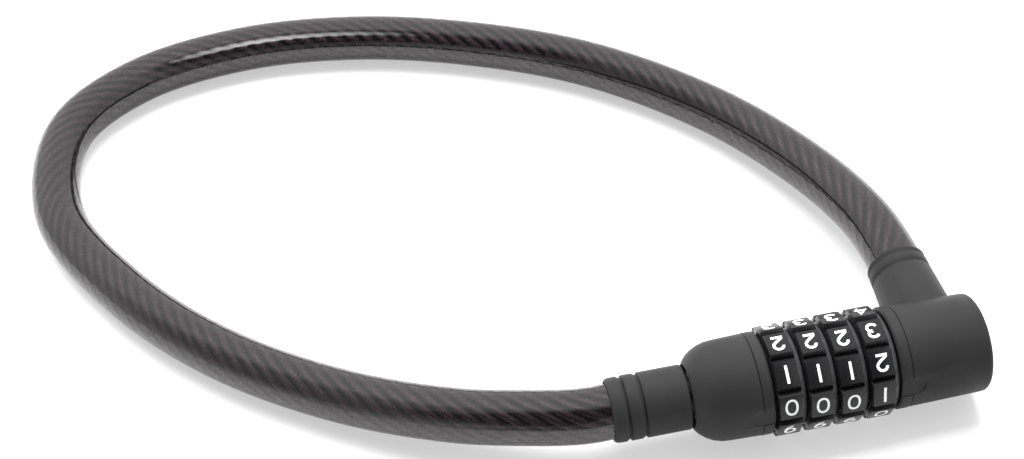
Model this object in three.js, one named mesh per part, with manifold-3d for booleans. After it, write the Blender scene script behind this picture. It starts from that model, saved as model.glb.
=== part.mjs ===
// Combination cable lock: a thick coated steel cable whose plug is held by four number dials.
// Millimetres. +X runs along the head from the plug to the fixed end, +Y to the far side of the
// cable's loop, +Z up from the surface it lies on. The origin is under the middle of the head.
import * as THREE from 'three';
import { mergeVertices } from 'three/addons/utils/BufferGeometryUtils.js';
import Module from 'manifold-3d';

const wasm = await Module();
wasm.setup();
const { Manifold } = wasm;

const radians = (degrees) => (degrees * Math.PI) / 180;

// ---- driving sizes ----
const gap = 0.3; // between pieces that touch
const cableDia = 15;
const pinRadius = 4;
const dialFlat = 14.4; // from the head's axis to a number's face
const dialPitch = 8.34;
const numbers = 10;
const indexAngle = 16; // degrees above level, on the near side
const settings = [6, 1.2, -2.3, -0.4]; // degrees that each dial's numbers stand past the index
const noseTurn = -4; // degrees that the nose cover's mark stands past the fixed end's
const sleeveLength = 20.9;
const noseLength = 20.25;
const housingLength = 25.3;
const neckReach = 30.6; // from the head's axis to the end of the fixed sleeve
const coverWall = 2.2;
const bandWidth = 1.4; // the smooth band beside the numbers of a dial
const socketDepth = 4; // how deep each sleeve takes the jacket
const coreHole = 6; // how deep each crimp takes the strands

// ---- sizes that follow ----
const seam = 0.5; // shows between the plug and the nose
const dialCount = settings.length;
const dialWidth = dialPitch - 0.4;
const stackLength = (dialCount - 1) * dialPitch + dialWidth;
const noseGap = 0.5;
const housingGap = 0.55;
const headLength = sleeveLength + seam + noseLength + noseGap + stackLength + housingGap + housingLength;
const plugEndX = -headLength / 2;
const sleeveEndX = plugEndX + sleeveLength;
const noseX = sleeveEndX + seam;
const noseEndX = noseX + noseLength;
const stackX = noseEndX + noseGap;
const stackEndX = stackX + stackLength;
const housingX = stackEndX + housingGap;
const fixedEndX = headLength / 2;
const neckX = housingX + housingLength / 2 + 1.5;

const rimRadius = dialFlat - 0.53; // both covers, beside the dials
const sleeveRadius = cableDia / 2 + 1.28;
const jacketBore = cableDia * 0.707;
const coreRadius = jacketBore / 2 - gap;
const boreRadius = pinRadius + gap;
const spindleRadius = boreRadius + 1.9;
const toothReach = spindleRadius + 1.7;
const toothWidth = pinRadius * 0.6;
const toothLength = 2.4;
const slotWidth = toothWidth + 2 * gap;
const chamberRadius = toothReach + 0.5;
const gateWall = dialWidth / 2 + 0.3;
const tumblerBore = spindleRadius + gap;
const tumblerRadius = chamberRadius + 1.8;
const tumblerWidth = dialWidth - 0.2;
const coverBore = rimRadius - coverWall;
const collarRadius = coverBore - gap;
const guideRadius = pinRadius + 1.4;
const spindleStartX = noseX + 13.8;
const pinTipX = stackEndX + gap;
const boreEndX = pinTipX + 1.6;

const padFlank = 0.3; // how far a number's raised pad spreads along the head down to its foot
const padStart = 0.45 - dialWidth / 2; // from a dial's middle to the plug side of its number faces
const padEnd = dialWidth / 2 - bandWidth;
const padLength = dialFlat * 0.555;
const padShrink = 0.862; // a number's face over its foot, round the dial
const padFoot = dialFlat - 1.4;
const drumRadius = padFoot + 0.2;
const cornerRadius = Math.hypot(dialFlat, (padLength * padShrink) / 2);
const cornerAngle = Math.acos(dialFlat / cornerRadius);
const axisY = (cornerRadius - neckReach) / 2;
const numberAngle = 360 / numbers;
function lowestCorner(setting) {
  const flats = (indexAngle + setting + 90) / numberAngle;
  const lean = Math.abs(flats - Math.round(flats)) * numberAngle;
  return cornerRadius * Math.cos(cornerAngle - radians(lean));
}
const axisZ = Math.max(...settings.map(lowestCorner));
const plugCrimpX = plugEndX + socketDepth;
const plugJacketX = plugCrimpX - gap;
const fixedCrimpY = neckReach - socketDepth;

const dialX = (i) => stackX + dialWidth / 2 + i * dialPitch;

// ---- shaping ----
function solid(geometry) {
  const plain = geometry.clone();
  plain.deleteAttribute('normal');
  plain.deleteAttribute('uv');
  const merged = mergeVertices(plain, 1e-4);
  const index = merged.index.array;
  const triangles = [];
  for (let i = 0; i < index.length; i += 3) {
    const [a, b, c] = [index[i], index[i + 1], index[i + 2]];
    if (a !== b && b !== c && c !== a) triangles.push(a, b, c);
  }
  return new Manifold(new wasm.Mesh({
    numProp: 3,
    vertProperties: merged.attributes.position.array,
    triVerts: new Uint32Array(triangles),
  }));
}

// a turned piece from [along, radius] points: up its outside, then back down its bore
function turned(points, segments = 32) {
  const outline = points.map(([along, radius]) => new THREE.Vector2(radius, along));
  if (points[0][1] > 0) outline.push(outline[0].clone());
  return new THREE.LatheGeometry(outline, segments);
}

const alongHead = (points, segments) => solid(turned(points, segments).rotateZ(-Math.PI / 2));
const alongNeck = (points, segments) => solid(turned(points, segments).translate(neckX, 0, 0));

// a round bar between two points
function bar(radius, from, to, segments = 24) {
  const start = new THREE.Vector3(...from);
  const way = new THREE.Vector3(...to).sub(start);
  const upright = new THREE.Vector3(0, 1, 0);
  const turn = new THREE.Quaternion().setFromUnitVectors(upright, way.clone().normalize());
  const geometry = new THREE.CylinderGeometry(radius, radius, way.length(), segments);
  const centre = start.addScaledVector(way, 0.5);
  return solid(geometry.applyQuaternion(turn).translate(centre.x, centre.y, centre.z));
}

function box([x0, y0, z0], [x1, y1, z1]) {
  const geometry = new THREE.BoxGeometry(x1 - x0, y1 - y0, z1 - z0);
  return solid(geometry.translate((x0 + x1) / 2, (y0 + y1) / 2, (z0 + z1) / 2));
}

// an outline of [y, z] points across the head, with holes, run along the head from x
function section(outline, holes, x, length) {
  const shape = new THREE.Shape(outline.map(([y, z]) => new THREE.Vector2(y, z)));
  shape.holes = holes.map((hole) => new THREE.Path(hole.map(([y, z]) => new THREE.Vector2(y, z))));
  const geometry = new THREE.ExtrudeGeometry(shape, { depth: length, bevelEnabled: false });
  return solid(geometry.rotateX(Math.PI / 2).rotateZ(Math.PI / 2).translate(x, 0, 0));
}

// an outline of [x, z] points in the head's upright middle plane, given a width across it
function profile(outline, width) {
  const shape = new THREE.Shape(outline.map(([x, z]) => new THREE.Vector2(x, z)));
  const geometry = new THREE.ExtrudeGeometry(shape, { depth: width, bevelEnabled: false });
  return solid(geometry.rotateX(Math.PI / 2).translate(0, width / 2, 0));
}

function polar(radius, degrees) {
  return [radius * Math.cos(radians(degrees)), radius * Math.sin(radians(degrees))];
}

function circle(radius, segments) {
  const points = [];
  for (let i = 0; i < segments; i++) points.push(polar(radius, (i * 360) / segments));
  return points;
}

// ---- materials ----
function finish(color, roughness, metalness) {
  return new THREE.MeshStandardMaterial({ color, roughness, metalness });
}
const cover = finish('#2c2c2e', 0.75, 0);
const numberPlastic = finish('#141415', 0.4, 0);
const clearCoat = finish('#37343a', 0.25, 0);
const strands = finish('#5c5b5e', 0.45, 1);
const steel = finish('#8f9194', 0.35, 1);
const zinc = finish('#a3a5a8', 0.5, 1);
const brass = finish('#b08d4a', 0.4, 1);

const group = new THREE.Group();

function part(name, shape, material) {
  const mesh = shape.getMesh();
  const geometry = new THREE.BufferGeometry();
  geometry.setAttribute('position', new THREE.BufferAttribute(new Float32Array(mesh.vertProperties), 3));
  geometry.setIndex(new THREE.BufferAttribute(new Uint32Array(mesh.triVerts), 1));
  geometry.computeVertexNormals();
  const node = new THREE.Mesh(geometry, material);
  node.name = name;
  group.add(node);
}

const headPart = (name, shape, material) => part(name, shape.translate(0, axisY, axisZ), material);

// ---- dials: a number ring keyed on to a tumbler, four times ----
const keyReach = tumblerRadius + 0.9;
const keyWidth = 3;
const ringBore = tumblerRadius + gap;

const ringProfile = [
  [-dialWidth / 2, drumRadius - 0.5],
  [-dialWidth / 2 + 0.3, drumRadius],
  [padEnd + padFlank / 2, drumRadius],
  [padEnd + padFlank / 2, dialFlat - 0.5],
  [dialWidth / 2 - 0.2, drumRadius - 0.1],
  [dialWidth / 2, drumRadius - 0.4],
  [dialWidth / 2, ringBore],
  [-dialWidth / 2, ringBore],
];

function numberPad(degrees) {
  const pad = new THREE.BoxGeometry(padEnd - padStart + 2 * padFlank, dialFlat - padFoot, padLength);
  const corners = pad.attributes.position;
  for (let i = 0; i < corners.count; i++) {
    if (corners.getY(i) < 0) continue;
    corners.setX(i, corners.getX(i) - Math.sign(corners.getX(i)) * padFlank);
    corners.setZ(i, corners.getZ(i) * padShrink);
  }
  pad.translate((padStart + padEnd) / 2, (padFoot + dialFlat) / 2, 0);
  return solid(pad.rotateX(radians(180 - degrees)));
}

const keyway = keyWidth / 2 + gap;
const keyways = box([-dialWidth, -keyReach - gap, -keyway], [dialWidth, keyReach + gap, keyway]);

function numberRing(setting) {
  let ring = alongHead(ringProfile, 30);
  for (let k = 0; k < numbers; k++) ring = ring.add(numberPad(indexAngle + setting + k * numberAngle));
  return ring.subtract(keyways);
}

// the tumbler's wall has a gate for the tooth and a flute for every number
const gateHalf = slotWidth / 2;
const gate = [
  [gateHalf, spindleRadius], [gateHalf, chamberRadius],
  [-gateHalf, chamberRadius], [-gateHalf, spindleRadius],
];
const fluted = [];
for (let k = 0; k < numbers; k++) {
  const middle = -90 + k * numberAngle;
  fluted.push(polar(tumblerBore, middle - 13), polar(tumblerBore + 0.6, middle - 10));
  fluted.push(polar(tumblerBore + 0.6, middle + 10), polar(tumblerBore, middle + 13));
}
const disc = circle(tumblerRadius, 40);
const chamberX = -tumblerWidth / 2 + gateWall;
const keys = box([-tumblerWidth / 2, -keyReach, -keyWidth / 2], [tumblerWidth / 2, keyReach, keyWidth / 2])
  .subtract(bar(tumblerRadius - 1, [-dialWidth, 0, 0], [dialWidth, 0, 0]));
const tumbler = section(disc, [fluted], -tumblerWidth / 2, gateWall)
  .subtract(section(gate, [], -dialWidth, dialWidth * 2))
  .add(section(disc, [circle(chamberRadius, 40)], -tumblerWidth / 2, tumblerWidth))
  .add(keys);

for (let i = 0; i < dialCount; i++) {
  headPart(`dial_ring_${i + 1}`, numberRing(settings[i]).translate(dialX(i), 0, 0), numberPlastic);
  headPart(`tumbler_${i + 1}`, tumbler.translate(dialX(i), 0, 0), brass);
}

// ---- barrel: the slotted spindle that carries the dials, in one with the block for the cable ----
const blockRadius = collarRadius;
const blockX = housingX + gap;
const blockEndX = fixedEndX - coverWall - gap;
const crimpRadius = coreRadius + 1.6;
const crimpStartY = 2;
const crossPinY = blockRadius - 4.9;
const crossPinRadius = 1.5;
const crossPinHole = bar(crossPinRadius + gap, [neckX, crossPinY, -dialFlat], [neckX, crossPinY, dialFlat]);
const crossPinReach = Math.sqrt(blockRadius ** 2 - (crossPinY + crossPinRadius) ** 2) - gap;
const collarPin = { x: spindleStartX + 3, z: 0.2 - spindleRadius, radius: 1, reach: collarRadius - 2.4 };
const collarPinHole = bar(collarPin.radius + gap,
  [collarPin.x, -dialFlat, collarPin.z], [collarPin.x, dialFlat, collarPin.z]);
const springWay = { from: stackX + 0.1, to: stackEndX + 0.2, width: 2.8, depth: spindleRadius - 1 };

headPart('barrel', alongHead([
  [spindleStartX, 0], [spindleStartX, spindleRadius - 0.5], [spindleStartX + 0.5, spindleRadius],
  [blockX, spindleRadius], [blockX, blockRadius], [blockEndX - 1.5, blockRadius],
  [blockEndX, blockRadius - 1.5], [blockEndX, 0],
])
  .subtract(bar(boreRadius, [spindleStartX - 1, 0, 0], [boreEndX, 0, 0]))
  .subtract(box([spindleStartX - 1, -slotWidth / 2, 0], [pinTipX, slotWidth / 2, spindleRadius + 1]))
  .subtract(box([springWay.from, -springWay.width / 2, -spindleRadius - 1],
    [springWay.to, springWay.width / 2, -springWay.depth]))
  .subtract(collarPinHole)
  .subtract(bar(crimpRadius + gap, [neckX, crimpStartY - 1, 0], [neckX, dialFlat, 0], 32))
  .subtract(crossPinHole), zinc);

// spring strip under the spindle: one nose for the flutes of each tumbler
const noseDrop = 0.75;
const strip = 0.4;
const springZ = -springWay.depth - gap;
const springTop = [[springWay.from + gap, springZ]];
for (let i = 0; i < dialCount; i++) {
  const middle = dialX(i) - tumblerWidth / 2 + gateWall / 2;
  springTop.push([middle - 1.5, springZ], [middle - 0.5, springZ - noseDrop]);
  springTop.push([middle + 0.5, springZ - noseDrop], [middle + 1.5, springZ]);
}
springTop.push([springWay.to - gap, springZ]);
const springUnder = springTop.map(([x, z]) => [x, z - strip]).reverse();
headPart('detent_spring', profile([...springTop, ...springUnder], springWay.width - 2 * gap), steel);

headPart('thrust_washer', alongHead([
  [stackEndX + 0.2, tumblerBore], [stackEndX + 0.2, tumblerRadius - 0.4],
  [housingX, tumblerRadius - 0.4], [housingX, tumblerBore],
]), steel);

// ---- nose: the collar pinned to the spindle, and its cover ----
// the hollow of the nose cover narrows towards the plug, from its full bore on, and the collar with it
const noseHollow = [[noseX + 6, coverBore], [noseX + 3.2, coverBore - 1.2], [noseX + 1.3, sleeveRadius + 0.1]];
const collarX = noseX + 1.3 + gap;
const collarEndX = stackX - gap;
headPart('nose_collar', alongHead([
  [collarX, guideRadius + gap], [collarX, sleeveRadius - 0.1], [noseHollow[1][0], noseHollow[1][1] - 0.4],
  [noseHollow[0][0] + 0.1, collarRadius],
  [collarEndX, collarRadius], [collarEndX, tumblerBore],
  [spindleStartX - gap, tumblerBore], [spindleStartX - gap, guideRadius + gap],
])
  .subtract(box([collarX - 1, -slotWidth / 2, 0], [collarEndX + 1, slotWidth / 2, chamberRadius]))
  .subtract(collarPinHole), zinc);
headPart('nose_collar_pin', bar(collarPin.radius, [collarPin.x, -collarPin.reach, collarPin.z],
  [collarPin.x, collarPin.reach, collarPin.z], 16), steel);

const rimBand = 3.1;
const rimLine = 0.22; // depth of the fine line behind the rim
const indexRadius = 2.8;
const markLength = 6.5;

// the index mark is a shallow round-ended hollow that opens at the rim
function indexMark(edgeX, length, angle) {
  const inwards = Math.sign(length);
  const centre = edgeX + length - inwards * indexRadius;
  const floor = rimRadius - 0.45;
  const out = [Math.min(centre, edgeX - inwards), Math.max(centre, edgeX - inwards)];
  return bar(indexRadius, [centre, -floor, 0], [centre, -rimRadius - 2, 0], 28)
    .add(box([out[0], -rimRadius - 2, -indexRadius], [out[1], -floor, indexRadius]))
    .rotate(-angle, 0, 0);
}

// the nose swells from the plug's size to the rim's in part of an ellipse
const shoulder = { length: 9, start: 25 };
function shoulderPoint(degrees) {
  const along = 1 - Math.cos(radians(degrees)) / Math.cos(radians(shoulder.start));
  const short = (1 - Math.sin(radians(degrees))) / (1 - Math.sin(radians(shoulder.start)));
  const foot = sleeveRadius + 0.1;
  const top = rimRadius - 0.3;
  return [noseX + shoulder.length * along, top - (top - foot) * short];
}

headPart('nose_cover', alongHead([
  [noseX, sleeveRadius - 0.3], ...[shoulder.start, 33, 42, 52, 64, 77, 90].map(shoulderPoint),
  [noseEndX - rimBand - 0.2, rimRadius - 0.1], [noseEndX - rimBand, rimRadius - 0.1 - rimLine],
  [noseEndX - rimBand + 0.2, rimRadius], [noseEndX - 0.5, rimRadius], [noseEndX, rimRadius - 0.5],
  [noseEndX, coverBore], ...noseHollow, [noseX + 1.3, sleeveRadius - 0.3],
], 40)
  .subtract(indexMark(noseEndX, -markLength, indexAngle + noseTurn)), cover);

// ---- fixed end: the crimp pinned in the block, under the elbow-shaped cover ----
headPart('fixed_crimp', alongNeck([
  [crimpStartY, 0], [crimpStartY, crimpRadius - 0.6], [crimpStartY + 0.6, crimpRadius],
  [fixedCrimpY, crimpRadius],
  [fixedCrimpY, coreRadius + gap], [fixedCrimpY - coreHole, coreRadius + gap], [fixedCrimpY - coreHole, 0],
], 40)
  .subtract(crossPinHole), steel);
headPart('fixed_crimp_pin', bar(crossPinRadius, [neckX, crossPinY, -crossPinReach],
  [neckX, crossPinY, crossPinReach], 20), steel);

const endRound = 1.4;
function endEdge(degrees) {
  const [along, out] = polar(endRound, degrees);
  return [fixedEndX - endRound + along, rimRadius - 0.5 - endRound + out];
}

const housing = alongHead([
  [housingX, 0], [housingX, rimRadius - 0.5], [housingX + 0.5, rimRadius],
  [housingX + rimBand - 0.2, rimRadius], [housingX + rimBand, rimRadius - 0.1 - rimLine],
  [housingX + rimBand + 0.2, rimRadius - 0.1],
  ...[90, 66, 44, 22, 0].map(endEdge), [fixedEndX, 0],
], 40);
const neckEndRadius = cableDia / 2 + 0.85;
// a groove round a sleeve: it falls slowly away from the sleeve's mouth, then steps up again
function groove(at, radius, depth, away) {
  return [
    [at - away * 1.3, radius], [at - away * 0.3, radius - depth],
    [at, radius - depth], [at + away * 0.1, radius],
  ];
}
const neck = alongNeck([
  [crimpStartY, 0], [crimpStartY, neckEndRadius + 1.05], [coverBore, neckEndRadius + 0.95],
  ...groove(neckReach - 5.6, neckEndRadius + 0.1, 0.4, -1).reverse(),
  ...groove(neckReach - 2, neckEndRadius, 0.3, -1).reverse(),
  [neckReach - 0.3, neckEndRadius - 0.1], [neckReach, neckEndRadius - 0.3], [neckReach, 0],
], 40);
headPart('elbow_cover', housing.add(neck)
  .subtract(bar(coverBore, [housingX - 1, 0, 0], [fixedEndX - coverWall, 0, 0], 36))
  .subtract(bar(crimpRadius + gap, [neckX, crimpStartY, 0], [neckX, neckReach + 1, 0], 28))
  .subtract(bar(cableDia / 2 + gap, [neckX, fixedCrimpY, 0], [neckX, neckReach + 1, 0], 28))
  .subtract(indexMark(housingX, markLength, indexAngle)), cover);

// ---- plug: a toothed pin fixed in the crimp, and the sleeve over both ----
const plugCrimpRadius = sleeveRadius - 1.75;
const coreHoleEndX = plugCrimpX + coreHole;
const flangeX = sleeveEndX - 3.7;
const plugPin = { x: flangeX - 2.4, radius: 1 };
const tailRadius = pinRadius - 1;
const crossHole = bar(plugPin.radius + gap, [plugPin.x, 0, -dialFlat], [plugPin.x, 0, dialFlat], 16);
headPart('plug_crimp', alongHead([
  [coreHoleEndX, 0], [coreHoleEndX, coreRadius + gap], [plugCrimpX, coreRadius + gap],
  [plugCrimpX, plugCrimpRadius], [flangeX - gap, plugCrimpRadius], [flangeX - gap, 0],
], 40)
  .subtract(bar(tailRadius + gap, [coreHoleEndX + 0.8, 0, 0], [flangeX, 0, 0]))
  .subtract(crossHole), steel);
headPart('plug_crimp_pin', bar(plugPin.radius, [plugPin.x, 0, gap * 2 - plugCrimpRadius],
  [plugPin.x, 0, plugCrimpRadius - gap * 2], 16), steel);

let plug = alongHead([
  [coreHoleEndX + 0.8 + gap, 0], [coreHoleEndX + 0.8 + gap, tailRadius], [flangeX, tailRadius],
  [flangeX, plugCrimpRadius], [flangeX + 1.5, plugCrimpRadius], [flangeX + 1.5, guideRadius],
  [noseX + 7.3, guideRadius], [noseX + 8.1, pinRadius], [pinTipX - 1, pinRadius],
  [pinTipX, pinRadius - 1], [pinTipX, 0],
], 40).subtract(crossHole);
for (let i = 0; i < dialCount; i++) {
  const back = dialX(i) + chamberX + 0.5;
  const front = back + toothLength;
  plug = plug.add(profile([
    [back, 2], [back, toothReach], [front - 1, toothReach], [front, toothReach - 1], [front, 2],
  ], toothWidth));
}
headPart('plug_pin', plug, steel);

headPart('plug_sleeve', alongHead([
  [plugEndX, cableDia / 2 + gap], [plugEndX, sleeveRadius - 0.65], [plugEndX + 0.3, sleeveRadius - 0.35],
  [plugEndX + 0.9, sleeveRadius - 0.1],
  ...groove(plugEndX + 4.5, sleeveRadius, 0.6, 1), ...groove(plugEndX + 8.85, sleeveRadius, 0.6, 1),
  [sleeveEndX - 0.4, sleeveRadius], [sleeveEndX, sleeveRadius - 0.4], [sleeveEndX, guideRadius + gap],
  [flangeX + 1.8, guideRadius + gap], [flangeX + 1.8, plugCrimpRadius + gap],
  [plugCrimpX, plugCrimpRadius + gap], [plugCrimpX, cableDia / 2 + gap],
], 40), cover);

// ---- cable: strands in a clear jacket, from the plug round to the fixed sleeve ----
const route = new THREE.CatmullRomCurve3([
  [plugJacketX, axisY, axisZ],
  [plugEndX - 7, axisY, axisZ],
  [-73.7, -3.9, 13.5],
  [-91.7, 3, 11.1],
  [-120.7, 18.4, 8.3],
  [-152.7, 41.6, 7.6],
  [-179.7, 71.5, 7.5],
  [-199.4, 108.5, 7.5],
  [-196, 145.5, 7.5],
  [-173.7, 164.3, 7.5],
  [-138.7, 171.6, 7.5],
  [-99.7, 167.5, 7.5],
  [-60.7, 154.1, 7.5],
  [-24.7, 133.9, 7.6],
  [8.6, 102.4, 8],
  [28.8, 68.6, 10.7],
  [37.4, 42.4, 13.7],
  [neckX, axisY + neckReach + 3, axisZ],
  [neckX, axisY + fixedCrimpY + gap, axisZ],
].map((point) => new THREE.Vector3(...point)), false, 'centripetal');
const cableSteps = 38;

function alongCable(radius, holeRadius, sides) {
  const shape = new THREE.Shape(circle(radius, sides).map(([x, y]) => new THREE.Vector2(x, y)));
  if (holeRadius) {
    shape.holes.push(new THREE.Path(circle(holeRadius, sides).map(([x, y]) => new THREE.Vector2(x, y))));
  }
  const options = { steps: cableSteps, extrudePath: route, bevelEnabled: false };
  return solid(new THREE.ExtrudeGeometry(shape, options));
}

// the strands run on into both crimps, drawn in a little by the crimping
const crimpedRadius = coreRadius - 0.5;
part('cable_core', alongCable(coreRadius, 0, 8)
  .add(bar(crimpedRadius, [plugJacketX - 0.5, axisY, axisZ], [coreHoleEndX - gap, axisY, axisZ], 10))
  .add(bar(crimpedRadius, [neckX, axisY + fixedCrimpY + 0.8, axisZ],
    [neckX, axisY + fixedCrimpY - coreHole + gap, axisZ], 10)), strands);
part('cable_jacket', alongCable(cableDia / 2, jacketBore / 2, 10), clearCoat);

export default group;
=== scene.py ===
import math

import bmesh
import bpy
from mathutils import Matrix, Vector


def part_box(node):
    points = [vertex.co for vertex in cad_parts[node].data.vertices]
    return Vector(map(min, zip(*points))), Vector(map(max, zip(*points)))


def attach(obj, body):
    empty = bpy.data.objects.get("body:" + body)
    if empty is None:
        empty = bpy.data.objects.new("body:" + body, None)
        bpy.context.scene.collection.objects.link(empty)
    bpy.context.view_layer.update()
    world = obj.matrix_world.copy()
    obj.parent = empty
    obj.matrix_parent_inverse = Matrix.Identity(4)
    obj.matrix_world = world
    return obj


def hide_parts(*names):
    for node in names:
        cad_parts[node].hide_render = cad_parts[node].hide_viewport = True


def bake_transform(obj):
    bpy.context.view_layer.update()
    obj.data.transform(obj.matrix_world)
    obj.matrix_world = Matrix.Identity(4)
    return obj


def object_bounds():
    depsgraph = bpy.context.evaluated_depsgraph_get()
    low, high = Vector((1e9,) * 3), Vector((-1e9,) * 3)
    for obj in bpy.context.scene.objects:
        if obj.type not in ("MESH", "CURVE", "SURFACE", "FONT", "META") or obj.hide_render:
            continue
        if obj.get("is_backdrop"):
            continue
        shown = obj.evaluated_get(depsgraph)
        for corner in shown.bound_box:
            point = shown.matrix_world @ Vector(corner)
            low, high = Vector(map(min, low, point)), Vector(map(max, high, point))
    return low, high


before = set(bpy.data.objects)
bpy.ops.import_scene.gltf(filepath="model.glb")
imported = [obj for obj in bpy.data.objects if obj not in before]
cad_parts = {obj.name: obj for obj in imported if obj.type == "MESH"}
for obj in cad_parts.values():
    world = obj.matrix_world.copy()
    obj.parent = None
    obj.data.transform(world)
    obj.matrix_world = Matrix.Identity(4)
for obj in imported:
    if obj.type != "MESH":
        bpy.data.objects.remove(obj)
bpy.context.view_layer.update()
MM = 0.001
TURN = 2 * math.pi

# ---- camera, at the photograph's viewing angle ----
RIGHT = Vector((0.98142, -0.17986, -0.06687))
DOWN = Vector((-0.17815, -0.72455, -0.66581))
FORWARD = Vector((0.0713, 0.66535, -0.74312))
CAMERA_PLACE = (-0.096265, -0.241012, 0.352845)
camera = bpy.data.objects.new("camera", bpy.data.cameras.new("camera"))
camera.data.lens = 54.365
camera.data.clip_start = 0.01
columns = (RIGHT, -DOWN, -FORWARD)
camera.matrix_world = Matrix.Translation(CAMERA_PLACE) @ Matrix([[c[i] for c in columns] for i in range(3)]).to_4x4()
bpy.context.scene.collection.objects.link(camera)
bpy.context.scene.camera = camera
bpy.context.scene.view_settings.view_transform = "Standard"

# ---- sizes: the head's axis comes from a CAD node; the cable's and the dials' repeat the CAD's values ----
sleeve_lo, sleeve_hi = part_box("plug_sleeve")
AXIS_Y = (sleeve_lo.y + sleeve_hi.y) / 2
AXIS_Z = (sleeve_lo.z + sleeve_hi.z) / 2
CABLE_DIA = 15 * MM
CORE_RADIUS = 5 * MM
MIDDLE_RADIUS = CORE_RADIUS - 1.5 * MM  # dark filler behind the strands
STRANDS = 10
STRAND_RADIUS = 1.16 * MM
STRAND_WIDTH = 1.5 * MM  # half; the strands are pressed flat against each other
LAY = 54 * MM  # length of cable in which a strand goes once round
WIRES = 7  # round a strand
WIRE_LAY = 90 * MM  # length of cable in which a wire goes once round its strand
COAT_SIDES, STRAND_SIDES, MIDDLE_SIDES = 40, 14, 12
DIALS = range(1, 5)
DIGIT_STEP = 36  # degrees
DIAL_FLAT = 14.4 * MM
BAND_WIDTH = 1.3 * MM  # the smooth band beside each dial's number pads
NUMBERS_ANGLE = (22, 17.2, 13.7, 15.6)  # of each dial's number nearest the index, above level
PAD_OFFSET = -0.475 * MM  # number faces from the dial's middle


def linear(code):
    """A display grey or colour, 0 to 255, as the linear value that shaders take."""
    parts = code if isinstance(code, (tuple, list)) else (code,) * 3
    out = [(p / 255 / 12.92) if p <= 10 else ((p / 255 + 0.055) / 1.055) ** 2.4 for p in parts]
    return (*out, 1.0)


# ---- shader nodes ----
def shader(name):
    material = bpy.data.materials.new(name)
    material.use_nodes = True
    tree = material.node_tree
    return material, tree, tree.nodes["Principled BSDF"]


def noise(tree, scale, detail=3.0, roughness=0.55, stretch=None):
    """A noise texture in the piece's own metres."""
    place = tree.nodes.new("ShaderNodeTexCoord").outputs["Object"]
    node = tree.nodes.new("ShaderNodeTexNoise")
    node.inputs["Scale"].default_value = scale
    node.inputs["Detail"].default_value = detail
    node.inputs["Roughness"].default_value = roughness
    if stretch:
        mapping = tree.nodes.new("ShaderNodeMapping")
        mapping.inputs["Scale"].default_value = stretch
        tree.links.new(place, mapping.inputs["Vector"])
        place = mapping.outputs["Vector"]
    tree.links.new(place, node.inputs["Vector"])
    return node.outputs["Fac"]


def attribute(tree, name, output="Fac"):
    node = tree.nodes.new("ShaderNodeAttribute")
    node.attribute_name = name
    return node.outputs[output]


def spread(tree, value, low, high, start=0.3, end=0.7):
    """value from start..end becomes a number from low to high."""
    node = tree.nodes.new("ShaderNodeMapRange")
    node.inputs["From Min"].default_value = start
    node.inputs["From Max"].default_value = end
    node.inputs["To Min"].default_value = low
    node.inputs["To Max"].default_value = high
    tree.links.new(value, node.inputs["Value"])
    return node.outputs["Result"]


def calculated(tree, operation, *values):
    """A math node on numbers and outputs of other nodes."""
    node = tree.nodes.new("ShaderNodeMath")
    node.operation = operation
    for socket, value in zip(node.inputs, values):
        if isinstance(value, (int, float)):
            socket.default_value = value
        else:
            tree.links.new(value, socket)
    return node.outputs[0]


def blend_colour(tree, factor, low, high):
    """The colour low where factor is 0 and high where it is 1."""
    node = tree.nodes.new("ShaderNodeMix")
    node.data_type = "RGBA"
    tree.links.new(factor, node.inputs["Factor"])
    for socket, colour in (("A", low), ("B", high)):
        if isinstance(colour, tuple):
            node.inputs[socket].default_value = colour
        else:
            tree.links.new(colour, node.inputs[socket])
    return node.outputs["Result"]


def bumped(tree, principled, height, depth, strength):
    node = tree.nodes.new("ShaderNodeBump")
    node.inputs["Strength"].default_value = strength
    node.inputs["Distance"].default_value = depth
    tree.links.new(height, node.inputs["Height"])
    tree.links.new(node.outputs["Normal"], principled.inputs["Normal"])


def darkened_hollows(tree, colour, amount):
    """colour, with shade painted in: darker by amount where the piece has a narrow hollow."""
    hollow = tree.nodes.new("ShaderNodeAmbientOcclusion")
    hollow.samples = 8
    hollow.inputs["Distance"].default_value = 0.9 * MM
    shade = tree.nodes.new("ShaderNodeVectorMath")
    shade.operation = "SCALE"
    tree.links.new(colour, shade.inputs[0])
    tree.links.new(spread(tree, hollow.outputs["AO"], 1 - amount, 1, 0.45, 0.95), shade.inputs["Scale"])
    return shade.outputs["Vector"]


# ---- materials ----
def finish(
    name, low, high, rough, metal=0.0, tone=90, grain=2500, depth=0.02 * MM, stretch=None, specular=0.5, hollow_shade=0.0
):
    """A moulded or metal surface: tone drifts over the piece, and a fine grain sets bump and gloss.
    The last argument, painted shade, is how much darker its narrow hollows are made."""
    material, tree, principled = shader(name)
    principled.inputs["Metallic"].default_value = metal
    principled.inputs["Specular IOR Level"].default_value = specular
    colour = blend_colour(tree, spread(tree, noise(tree, tone), 0, 1), linear(low), linear(high))
    # painted shade: the base colour is darkened in narrow hollows
    if hollow_shade:
        colour = darkened_hollows(tree, colour, hollow_shade)
    tree.links.new(colour, principled.inputs["Base Color"])
    fine = noise(tree, grain, 2.0, 0.6, stretch)
    tree.links.new(spread(tree, fine, *rough), principled.inputs["Roughness"])
    bumped(tree, principled, fine, depth, 0.6)
    return material


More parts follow.
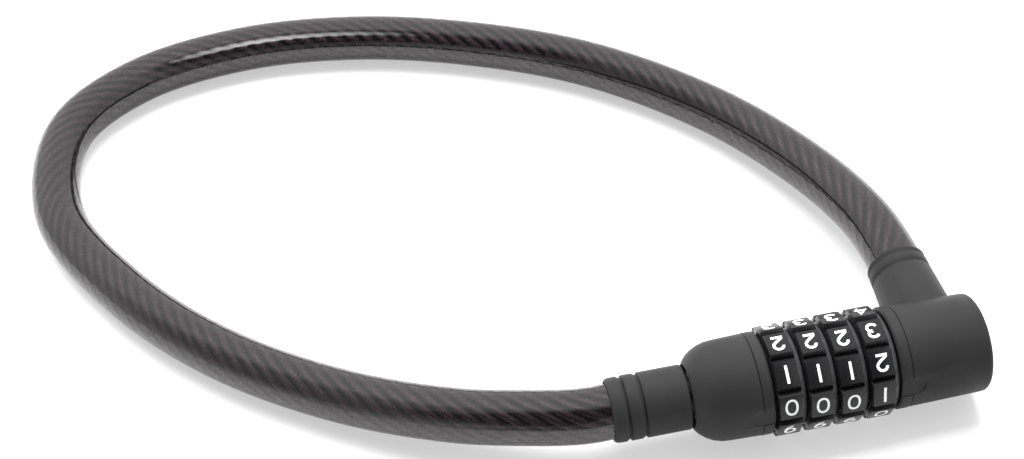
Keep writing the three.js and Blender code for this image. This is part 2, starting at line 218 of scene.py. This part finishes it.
def strand_material():
    """Dark galvanised wire: fine wires laid along each strand. The strands are painted lighter on their ridges, with
    shade painted into the hollows between strands and, a little, between wires.
    """
    material, tree, principled = shader("strand_wire")
    principled.inputs["Metallic"].default_value = 0.85
    wave = calculated(tree, "PINGPONG", attribute(tree, "wires"), 0.5)
    groove = spread(tree, wave, 0, 1, 0.0, 0.35)
    # painted shade: darker toward the hollows between strands (ridge) and between wires (groove)
    ridge = spread(tree, attribute(tree, "ridge"), 0, 1, 0.62, 0.99)
    shade = calculated(tree, "MULTIPLY", ridge, spread(tree, groove, 0.8, 1, 0, 1))
    colour = blend_colour(tree, shade, linear((12, 10, 11)), linear((102, 92, 96)))
    tree.links.new(colour, principled.inputs["Base Color"])
    tree.links.new(spread(tree, noise(tree, 900), 0.2, 0.32), principled.inputs["Roughness"])
    bumped(tree, principled, groove, 0.02 * MM, 0.5)
    return material


def coat_material():
    """Smoke-clear vinyl: glossy, tinted, with the faint waves that the strands press into it."""
    material, tree, principled = shader("clear_coat")
    principled.inputs["Transmission Weight"].default_value = 0.985
    principled.inputs["IOR"].default_value = 1.58
    principled.inputs["Specular IOR Level"].default_value = 0.5
    tone = spread(tree, noise(tree, 35, 2.0), 0, 1)
    colour = blend_colour(tree, tone, linear((130, 118, 124)), linear((146, 134, 140)))
    tree.links.new(colour, principled.inputs["Base Color"])
    tree.links.new(spread(tree, noise(tree, 220), 0.06, 0.11), principled.inputs["Roughness"])
    parts = tree.nodes.new("ShaderNodeSeparateXYZ")
    tree.links.new(attribute(tree, "lay", "Vector"), parts.inputs["Vector"])
    turn = calculated(tree, "ARCTAN2", parts.outputs["Y"], parts.outputs["X"])
    phase = calculated(tree, "ADD", calculated(tree, "MULTIPLY", turn, STRANDS), parts.outputs["Z"])
    drift = calculated(tree, "MULTIPLY", noise(tree, 140, 2.0), 0.8)
    bumped(tree, principled, calculated(tree, "ADD", calculated(tree, "COSINE", phase), drift), 0.02 * MM, 0.5)
    return material


# the covers get painted shade in their narrow hollows
COVER = finish(
    "cover", (35, 35, 35), (41, 41, 41), (0.45, 0.6), tone=60, grain=3200, depth=0.03 * MM, specular=0.16, hollow_shade=0.75
)
DIAL = finish("dial", (19, 19, 20), (26, 26, 27), (0.2, 0.34), tone=150, grain=1800, depth=0.008 * MM, specular=0.25)
BAND = finish("dial_band", (56, 56, 58), (64, 64, 66), (0.34, 0.5), tone=150, grain=1800, depth=0.01 * MM)
PAINT = finish("paint", (226, 227, 228), (240, 240, 240), (0.35, 0.5), tone=500, grain=2600, depth=0.01 * MM)
STEEL = finish("steel", (150, 151, 153), (176, 177, 179), (0.22, 0.36), 1.0, 120, 1500, 0.006 * MM, (0.1, 1, 1))
HARD_STEEL = finish(
    "hardened_steel", (128, 130, 133), (150, 152, 155), (0.28, 0.4), 1.0, 90, 1500, 0.006 * MM, (1, 0.1, 0.1)
)
ZINC = finish("zinc", (150, 152, 155), (168, 170, 172), (0.4, 0.58), 1.0, 200, 1400, 0.02 * MM)
BRASS = finish("brass", (186, 150, 84), (204, 170, 104), (0.24, 0.38), 1.0, 160, 1500, 0.006 * MM, (0.1, 1, 1))
STRAND = strand_material()
COAT = coat_material()
FILLER = finish("rope_middle", (20, 19, 20), (30, 29, 30), (0.5, 0.7), tone=300, grain=1500)
# near-black material for the painted dark reflection along the coat's bends
DARK_REFLECTION = finish("coat_dark_reflection", (6, 5, 6), (10, 9, 10), (0.4, 0.55), tone=200, grain=1500, specular=0.1)


# ---- mesh helpers ----
def mesh_object(name, vertices, faces, material, smooth=True):
    mesh = bpy.data.meshes.new(name)
    mesh.from_pydata([tuple(v) for v in vertices], [], faces)
    mesh.materials.append(material)
    if smooth:
        for polygon in mesh.polygons:
            polygon.use_smooth = True
    mesh.update()
    piece = bpy.data.objects.new(name, mesh)
    bpy.context.scene.collection.objects.link(piece)
    return piece


def outward(piece):
    """piece, with its faces turned outward."""
    bm = bmesh.new()
    bm.from_mesh(piece.data)
    bmesh.ops.recalc_face_normals(bm, faces=bm.faces)
    bm.to_mesh(piece.data)
    bm.free()
    return piece


def tube(rings):
    """Vertices and faces of a skin over equal rings of points, capped at both ends."""
    sides = len(rings[0])
    vertices = [p for ring in rings for p in ring]
    faces = []
    for i in range(len(rings) - 1):
        for j in range(sides):
            a, b = i * sides + j, i * sides + (j + 1) % sides
            faces.append((a, b, b + sides, a + sides))
    faces.append(tuple(range(sides - 1, -1, -1)))
    last = (len(rings) - 1) * sides
    faces.append(tuple(range(last, last + sides)))
    return vertices, faces


def append_mesh(vertices, faces, more_vertices, more_faces):
    faces += [tuple(k + len(vertices) for k in face) for face in more_faces]
    vertices += more_vertices


def add_points_attribute(piece, name, kind, field, values):
    piece.data.attributes.new(name, kind, "POINT").data.foreach_set(field, values)


# ---- the cable's route, the same points as the CAD cable, in millimetres ----
ROUTE = [
    (-46.78, -7.897, 14.618), (-57.48, -7.897, 14.618), (-73.7, -3.9, 13.5), (-91.7, 3, 11.1), (-120.7, 18.4, 8.3),
    (-152.7, 41.6, 7.6), (-179.7, 71.5, 7.5), (-199.4, 108.5, 7.5), (-196, 145.5, 7.5), (-173.7, 164.3, 7.5),
    (-138.7, 171.6, 7.5), (-99.7, 167.5, 7.5), (-60.7, 154.1, 7.5), (-24.7, 133.9, 7.6), (8.6, 102.4, 8),
    (28.8, 68.6, 10.7), (37.4, 42.4, 13.7), (39.33, 25.703, 14.618), (39.33, 19.003, 14.618),
]
STEPS = 300  # along the cable
SPAN_STEPS = 60  # between two points of the route, before they are evened out


def centripetal(points, steps):
    """Evenly spaced points on the centripetal Catmull-Rom curve through points, and its length."""
    pts = [Vector(p) * MM for p in points]
    pts = [pts[0] * 2 - pts[1], *pts, pts[-1] * 2 - pts[-2]]
    dense = []
    for i in range(1, len(pts) - 2):
        p = pts[i - 1 : i + 3]
        dt = [max((p[k + 1] - p[k]).length ** 0.5, 1e-6) for k in range(3)]
        m1 = ((p[1] - p[0]) / dt[0] - (p[2] - p[0]) / (dt[0] + dt[1]) + (p[2] - p[1]) / dt[1]) * dt[1]
        m2 = ((p[2] - p[1]) / dt[1] - (p[3] - p[1]) / (dt[1] + dt[2]) + (p[3] - p[2]) / dt[2]) * dt[1]
        for k in range(SPAN_STEPS):
            t = k / SPAN_STEPS
            h = (2 * t**3 - 3 * t**2 + 1, t**3 - 2 * t**2 + t, -2 * t**3 + 3 * t**2, t**3 - t**2)
            dense.append(p[1] * h[0] + m1 * h[1] + p[2] * h[2] + m2 * h[3])
    dense.append(pts[-2])
    lengths = [0.0]
    for a, b in zip(dense, dense[1:]):
        lengths.append(lengths[-1] + (b - a).length)
    even, k = [], 0
    for i in range(steps + 1):
        goal = lengths[-1] * i / steps
        while k < len(dense) - 2 and lengths[k + 1] < goal:
            k += 1
        share = (goal - lengths[k]) / (lengths[k + 1] - lengths[k])
        even.append(dense[k].lerp(dense[k + 1], min(max(share, 0), 1)))
    return even, lengths[-1]


def frames(line, loop_middle):
    """For each point: the level direction to the loop's inside, and the one square to it and to the cable."""
    out = []
    for i in range(len(line)):
        way = (line[min(i + 1, len(line) - 1)] - line[max(i - 1, 0)]).normalized()
        inner = way.cross(Vector((0, 0, 1))).normalized()
        if inner.dot(out[-1][0] if out else loop_middle - line[i]) < 0:
            inner = -inner
        upper = inner.cross(way)
        if upper.z < 0:
            upper = -upper
        out.append((inner, upper))
    return out


LINE, CABLE_LENGTH = centripetal(ROUTE, STEPS)
FRAMES = frames(LINE, Vector((-80, 80, 7.5)) * MM)


def around(i, radius, angle):
    """A point at step i of the cable, radius from its middle line, angle up from the loop's inside."""
    inner, upper = FRAMES[i]
    return LINE[i] + inner * (radius * math.cos(angle)) + upper * (radius * math.sin(angle))


def round_tube(radius, sides):
    """A tube of that radius along the whole cable."""
    return tube([[around(i, radius, TURN * j / sides) for j in range(sides)] for i in range(STEPS + 1)])


# ---- the cable: coat, strands and rope middle ----
coat = outward(mesh_object("cable_coat", *round_tube(CABLE_DIA / 2, COAT_SIDES), COAT))
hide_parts("cable_jacket")

# where each point of the coat lies round the cable (cosine and sine), and the phase of the strands' lay there
lay = [
    part
    for i in range(STEPS + 1)
    for j in range(COAT_SIDES)
    for part in (
        math.cos(TURN * j / COAT_SIDES), math.sin(TURN * j / COAT_SIDES),
        TURN * STRANDS * i / STEPS * CABLE_LENGTH / LAY,
    )
]
add_points_attribute(coat, "lay", "FLOAT_VECTOR", "vector", lay)

# strands laid round a dark middle, right-hand lay
vertices, faces, wires, ridge = [], [], [], []
for s in range(STRANDS):
    rings = []
    for i in range(STEPS + 1):
        turn = TURN * (s / STRANDS - i / STEPS * CABLE_LENGTH / LAY)
        centre = around(i, CORE_RADIUS - STRAND_RADIUS, turn)
        inner, upper = FRAMES[i]
        out = inner * math.cos(turn) + upper * math.sin(turn)
        across = -inner * math.sin(turn) + upper * math.cos(turn)
        ring = []
        for j in range(STRAND_SIDES):
            a = TURN * j / STRAND_SIDES
            ring.append(centre + out * (STRAND_RADIUS * math.cos(a)) + across * (STRAND_WIDTH * math.sin(a)))
            # 1 on a strand's outside, falling toward its sides: the mask of the painted shade between strands
            ridge.append(math.cos(a))
            wires.append(WIRES * (j / STRAND_SIDES + i / STEPS * CABLE_LENGTH / WIRE_LAY))
        rings.append(ring)
    append_mesh(vertices, faces, *tube(rings))
rope = outward(mesh_object("cable_strands", vertices, faces, STRAND))
add_points_attribute(rope, "wires", "FLOAT", "value", wires)
add_points_attribute(rope, "ridge", "FLOAT", "value", ridge)
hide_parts("cable_core")
middle = outward(mesh_object("rope_middle", *round_tube(MIDDLE_RADIUS, MIDDLE_SIDES), FILLER))

# ---- a painted dark reflection: a fine dark line raised on the coat along the inside of its bends ----
REFLECTION_LINE_HALF = 0.3 * MM  # half its width
REFLECTION_LINE_SUNK, REFLECTION_LINE_PROUD, REFLECTION_LINE_CROWN = 0.12 * MM, 0.07 * MM, 0.05 * MM


def dark_reflection_line(name, course):
    """A fine dark line along the coat through (distance along in mm, angle round in degrees)."""
    first, last = (round(at * MM / CABLE_LENGTH * STEPS) for at in (course[0][0], course[-1][0]))
    rings = []
    for i in range(first, last + 1):
        t = (i - first) / (last - first)
        at = CABLE_LENGTH * i / STEPS / MM
        start, end = next((p, q) for p, q in zip(course, course[1:]) if at <= q[0] or q is course[-1])
        share = min(max((at - start[0]) / (end[0] - start[0]), 0), 1)
        angle = math.radians(start[1] + (end[1] - start[1]) * share * share * (3 - 2 * share))
        taper = min(1.0, t * 8, (1 - t) * 8) ** 0.5
        half = REFLECTION_LINE_HALF * max(taper, 0.15) / (CABLE_DIA / 2)
        low, high = CABLE_DIA / 2 - REFLECTION_LINE_SUNK, CABLE_DIA / 2 + REFLECTION_LINE_PROUD * taper
        rings.append([
            around(i, low, angle - half), around(i, high - REFLECTION_LINE_CROWN, angle - half), around(i, high, angle),
            around(i, high - REFLECTION_LINE_CROWN, angle + half), around(i, low, angle + half),
        ])
    reflection_piece = outward(mesh_object(name, *tube(rings), DARK_REFLECTION))
    return reflection_piece


# the painted dark reflection, on the left stretch and on the right stretch
reflection_pieces = [
    dark_reflection_line("coat_dark_reflection_left", [(194, 10), (204, 17), (218, 25), (240, 21), (258, 23), (277, 24)]),
    dark_reflection_line("coat_dark_reflection_right", [(410, 28), (435, 30), (455, 35), (505, 38), (540, 33), (562, 32)]),
]

# the cable pieces' placement is baked into their meshes (on the lock, the far stretch draws out as the plug slides,
# and the loop to its left goes with the plug)
for piece in (coat, rope, middle, *reflection_pieces):
    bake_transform(piece)

# ---- rigid plastic pieces: the CAD shape with its edges broken ----
FLAT_ANGLE, SHARP_ANGLE, CREASE_ANGLE = math.radians(0.6), math.radians(24), math.radians(32)


def softened(node, name, body, material, width):
    """A copy of a CAD node with small rounds on its sharp edges, in its place."""
    bm = bmesh.new()
    bm.from_mesh(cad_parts[node].data)
    bmesh.ops.remove_doubles(bm, verts=bm.verts, dist=1e-6)
    bmesh.ops.dissolve_limit(bm, angle_limit=FLAT_ANGLE, verts=bm.verts, edges=bm.edges)
    bmesh.ops.recalc_face_normals(bm, faces=bm.faces)
    sharp = [e for e in bm.edges if len(e.link_faces) == 2 and e.calc_face_angle(0) > SHARP_ANGLE]
    bmesh.ops.bevel(bm, geom=sharp, offset=width, segments=2, profile=0.5, affect="EDGES", clamp_overlap=True)
    bmesh.ops.triangulate(bm, faces=[f for f in bm.faces if len(f.verts) > 4])
    for face in bm.faces:
        face.smooth = True
    for edge in bm.edges:
        edge.smooth = len(edge.link_faces) == 2 and edge.calc_face_angle(0) < CREASE_ANGLE
    mesh = bpy.data.meshes.new(name)
    bm.to_mesh(mesh)
    bm.free()
    mesh.materials.append(material)
    piece = bpy.data.objects.new(name, mesh)
    bpy.context.scene.collection.objects.link(piece)
    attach(piece, body)
    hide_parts(node)
    return piece


softened("nose_cover", "nose_shell", "head", COVER, 0.06 * MM)
softened("elbow_cover", "elbow_shell", "head", COVER, 0.06 * MM)
softened("plug_sleeve", "sleeve_shell", "plug", COVER, 0.12 * MM)
for i in DIALS:
    ring = softened(f"dial_ring_{i}", f"dial_{i}_ring", f"dial_{i}", DIAL, 0.14 * MM)
    ring.data.materials.append(BAND)
    edge_x = max(v.co.x for v in ring.data.vertices) - BAND_WIDTH
    for polygon in ring.data.polygons:
        polygon.material_index = int(polygon.center.x > edge_x)

# ---- numbers on the dials, drawn in millimetres ----
W, H = 1.28, 2.02  # half the width and height between stroke middles
STROKE, ZERO_STROKE = 0.72, 0.6
PAINT_TOP, PAINT_STEP, PAINT_SUNK = 0.05, 0.004, -0.06  # each next stroke lies a step higher, so none fight


def arc(cx, cy, rx, ry, a0, a1, n=14, power=1.0):
    """Points of an ellipse from a0 to a1 degrees; a power below 1 makes it squarer."""
    out = []
    for k in range(n + 1):
        a = math.radians(a0 + (a1 - a0) * k / n)
        c, s = math.cos(a), math.sin(a)
        out.append((cx + rx * math.copysign(abs(c) ** power, c), cy + ry * math.copysign(abs(s) ** power, s)))
    return out


SIX = [arc(0, -0.82, W, 1.26, 90, 450, 24), [*arc(0.55, -0.4, W + 0.55, H + 0.4, 88, 172, 10), (-W, -0.82)]]
STROKES = {
    0: [arc(0, 0, W + 0.17, H + 0.1, 90, 450, 32, 0.88)],
    1: [[(0, H + 0.36), (0, -H - 0.36)]],
    2: [[
        *arc(0, H - 1.2, W, 1.2, 176, -32, 18),
        (0.45, -0.4), (-0.45, -1.05), (-W + 0.08, -1.6), (-W, -H), (W + 0.1, -H),
    ]],
    3: [arc(-0.05, H - 1.04, 1.24, 1.04, 158, -88, 16), arc(-0.05, -H + 1.14, W, 1.14, 90, -158, 18)],
    4: [[(0.55, -H - 0.42), (0.55, H), (-W, -0.85), (W + 0.3, -0.85)]],
    5: [[(W, H), (-W + 0.25, H), (-W + 0.1, 0.12), *arc(-0.05, -H + 1.3, W, 1.3, 125, -155, 16)]],
    6: SIX,
    7: [[(-W - 0.1, H), (W, H), (-0.4, -H - 0.42)]],
    8: [arc(0, H - 1.02, 1.14, 1.02, 90, 450, 22), arc(0, -H + 1.12, W, 1.12, 90, 450, 24)],
    9: [[(-x, -y) for x, y in line] for line in SIX],
}


def ribbon(line, width):
    """Left and right edges of a stroke, mitred, and whether it closes on itself."""
    closed = math.dist(line[0], line[-1]) < 1e-6
    pts = [Vector(p) for p in (line[:-1] if closed else line)]
    left, right = [], []
    for i, p in enumerate(pts):
        before = pts[i - 1] if closed or i else None
        after = pts[(i + 1) % len(pts)] if closed or i < len(pts) - 1 else None
        d0 = (p - before).normalized() if before is not None else (after - p).normalized()
        d1 = (after - p).normalized() if after is not None else d0
        n0, n1 = Vector((-d0.y, d0.x)), Vector((-d1.y, d1.x))
        n = (n0 + n1).normalized()
        n *= width / 2 / max(n.dot(n0), 0.45)
        left.append(p + n)
        right.append(p - n)
    return left, right, closed


def number_mesh(digit, place):
    """A digit as raised paint. place turns (right, up, out) in millimetres into the row frame."""
    vertices, faces = [], []
    for order, line in enumerate(STROKES[digit]):
        left, right, closed = ribbon(line, STROKE if digit else ZERO_STROKE)
        n, base = len(left), len(vertices)
        top, low = PAINT_TOP + PAINT_STEP * order, PAINT_SUNK
        for l, r in zip(left, right):
            vertices += [place(l.x, l.y, low), place(l.x, l.y, top), place(r.x, r.y, top), place(r.x, r.y, low)]
        for i in range(n if closed else n - 1):
            a, b = base + 4 * i, base + 4 * ((i + 1) % n)
            for k in range(4):
                faces.append((a + k, a + (k + 1) % 4, b + (k + 1) % 4, b + k))
        if not closed:
            faces.append((base, base + 1, base + 2, base + 3))
            end = base + 4 * (n - 1)
            faces.append((end + 3, end + 2, end + 1, end))
    return vertices, faces


for i in DIALS:
    low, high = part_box(f"dial_ring_{i}")
    dial_middle = Vector(((low.x + high.x) / 2 + PAD_OFFSET, AXIS_Y, AXIS_Z))
    vertices, faces = [], []
    for digit in range(10):
        # the last dial stands one number further on
        phi = math.radians(NUMBERS_ANGLE[i - 1] + DIGIT_STEP * (digit - (i == DIALS[-1])))
        out = Vector((0, -math.cos(phi), math.sin(phi)))
        up = Vector((0, -math.sin(phi), -math.cos(phi)))
        face_centre = dial_middle + out * DIAL_FLAT

        def place(u, v, w):
            return face_centre + Vector((-u, 0, 0)) * MM + up * (v * MM) + out * (w * MM)

        append_mesh(vertices, faces, *number_mesh(digit, place))
    numbers = outward(mesh_object(f"dial_{i}_numbers", vertices, faces, PAINT, smooth=False))
    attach(numbers, f"dial_{i}")

# ---- the CAD pieces that stay as they are ----
KEPT = {
    "barrel": ZINC, "nose_collar": ZINC, "detent_spring": STEEL, "thrust_washer": STEEL, "nose_collar_pin": STEEL,
    "fixed_crimp": STEEL, "fixed_crimp_pin": STEEL, "plug_crimp": STEEL, "plug_crimp_pin": STEEL,
    "plug_pin": HARD_STEEL, "tumbler_1": BRASS, "tumbler_2": BRASS, "tumbler_3": BRASS, "tumbler_4": BRASS,
}
for node, material in KEPT.items():
    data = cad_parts[node].data
    data.materials.clear()
    data.materials.append(material)

# ---- floor ----
FLOOR_HALF = 3.0
floor_material, floor_tree, floor_shader = shader("floor")
floor_tone = spread(floor_tree, noise(floor_tree, 6), 0, 1)
floor_tree.links.new(
    blend_colour(floor_tree, floor_tone, linear(172), linear(175)), floor_shader.inputs["Base Color"]
)
floor_shader.inputs["Roughness"].default_value = 0.7
floor_shader.inputs["Emission Color"].default_value = (1, 1, 1, 1)
floor_shader.inputs["Emission Strength"].default_value = 0.5
floor_shader.inputs["Specular IOR Level"].default_value = 0.2
corners = [(x * FLOOR_HALF, y * FLOOR_HALF, 0) for x, y in ((-1, -1), (1, -1), (1, 1), (-1, 1))]
floor = mesh_object("floor", corners, [(0, 1, 2, 3)], floor_material)
floor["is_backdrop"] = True

# ---- a white tent all round, brighter at the back, with three dim parts on the camera's side ----
world = bpy.data.worlds.new("studio")
world.use_nodes = True
bpy.context.scene.world = world
wt = world.node_tree
background = wt.nodes["Background"]
background.inputs["Strength"].default_value = 1.0
direction = wt.nodes.new("ShaderNodeTexCoord").outputs["Generated"]


def patch(middle, depth, edge, full):
    """A round part of the tent about a direction: 0 beyond edge, depth within full (both cosines)."""
    dot = wt.nodes.new("ShaderNodeVectorMath")
    dot.operation = "DOT_PRODUCT"
    dot.inputs[1].default_value = middle
    wt.links.new(direction, dot.inputs[0])
    return spread(wt, dot.outputs["Value"], 0, depth, edge, full)


above_camera = patch((-0.24, -0.61, 0.755), 1.0, 0.76, 0.9)
in_front = patch((-0.06, -0.994, 0.087), 0.65, 0.74, 0.93)
on_left = patch((-0.6, -0.36, 0.715), 0.6, 0.76, 0.92)
dim = calculated(wt, "MAXIMUM", calculated(wt, "MAXIMUM", above_camera, in_front), on_left)
cloth = blend_colour(wt, patch((0, 0.5, 0.866), 1.0, 0.3, 0.8), (1.12, 1.12, 1.13, 1), (1.5, 1.5, 1.51, 1))
wt.links.new(blend_colour(wt, dim, cloth, (0.03, 0.03, 0.03, 1)), background.inputs["Color"])


# ---- lights ----
def softbox(name, place, target, size, power, glossy=True):
    light = bpy.data.lights.new(name, "AREA")
    light.shape = "RECTANGLE"
    light.size, light.size_y = size
    light.energy = power
    holder = bpy.data.objects.new(name, light)
    holder.location = place
    holder.rotation_mode = "QUATERNION"
    holder.rotation_quaternion = (Vector(target) - Vector(place)).to_track_quat("-Z", "Y")
    holder.visible_glossy = glossy
    bpy.context.scene.collection.objects.link(holder)
    return holder


OVERHEAD_SIZE, OVERHEAD_TARGET = (1.5, 1.1), (-0.08, 0.06, 0)
overhead = softbox("overhead", (-0.1, 0.75, 1.35), OVERHEAD_TARGET, OVERHEAD_SIZE, 66, glossy=False)
overhead.visible_transmission = False
softbox("overhead_soft", (-0.1, 0.7, 1.4), OVERHEAD_TARGET, OVERHEAD_SIZE, 12, glossy=False)
# a small lamp that gives the far stretch its highlight
lamp = softbox("lamp", (-0.178, 0.022, 0.383), (-0.1416, 0.205, 0.029), (0.19, 0.19), 0.045)
lamp.data.spread = math.radians(36)
lamp.visible_diffuse = False

low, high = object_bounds()
